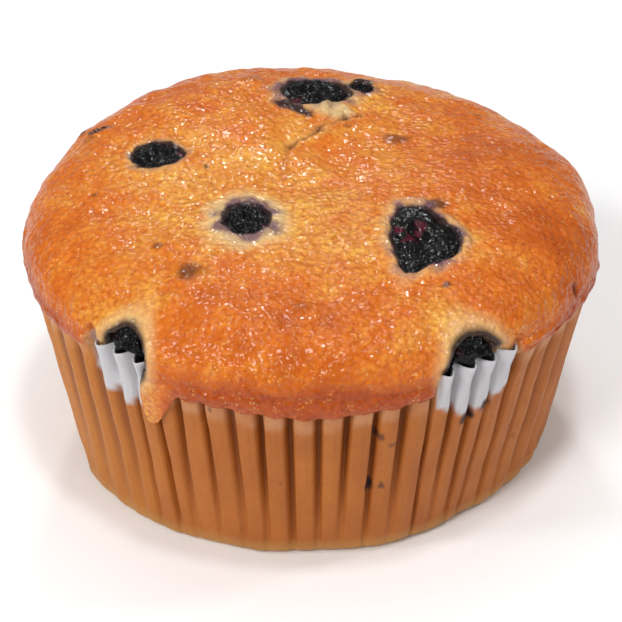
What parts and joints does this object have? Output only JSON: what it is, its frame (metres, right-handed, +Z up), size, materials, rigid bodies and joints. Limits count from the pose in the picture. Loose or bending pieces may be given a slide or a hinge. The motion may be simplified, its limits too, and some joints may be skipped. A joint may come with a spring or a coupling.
{
  "type": "berry muffin in a paper case",
  "caption": "Round muffin with a low domed golden crust, dark berries sunk in it and a fluted paper case, standing on its flat base.",
  "frame": {"origin": "centre of the round base, on the surface that the muffin stands on", "axes": "+Z up along the muffin's axis, -Y towards the front, where two rim berries push the crust back from the paper, +X to the right"},
  "size_m": [0.0812, 0.0812, 0.0411],
  "materials": {
    "crust": "baked cake: a golden, slightly sticky crust over pale crumb",
    "case_paper": "white baking paper, soaked brown and translucent by butter, dry and white only at its free tips",
    "berry_skin": "baked berry: wrinkled near-black skin with purple juice"
  },
  "bodies": {
    "root": {"cake": "crust", "paper_case": "case_paper", "berry_crown": "berry_skin", "berry_crown_small": "berry_skin", "berry_left": "berry_skin", "berry_middle": "berry_skin", "berry_right": "berry_skin", "berry_left_shoulder": "berry_skin", "berry_left_rim": "berry_skin", "berry_right_rim": "berry_skin", "berry_back_rim": "berry_skin"}
  },
  "joints": []
}
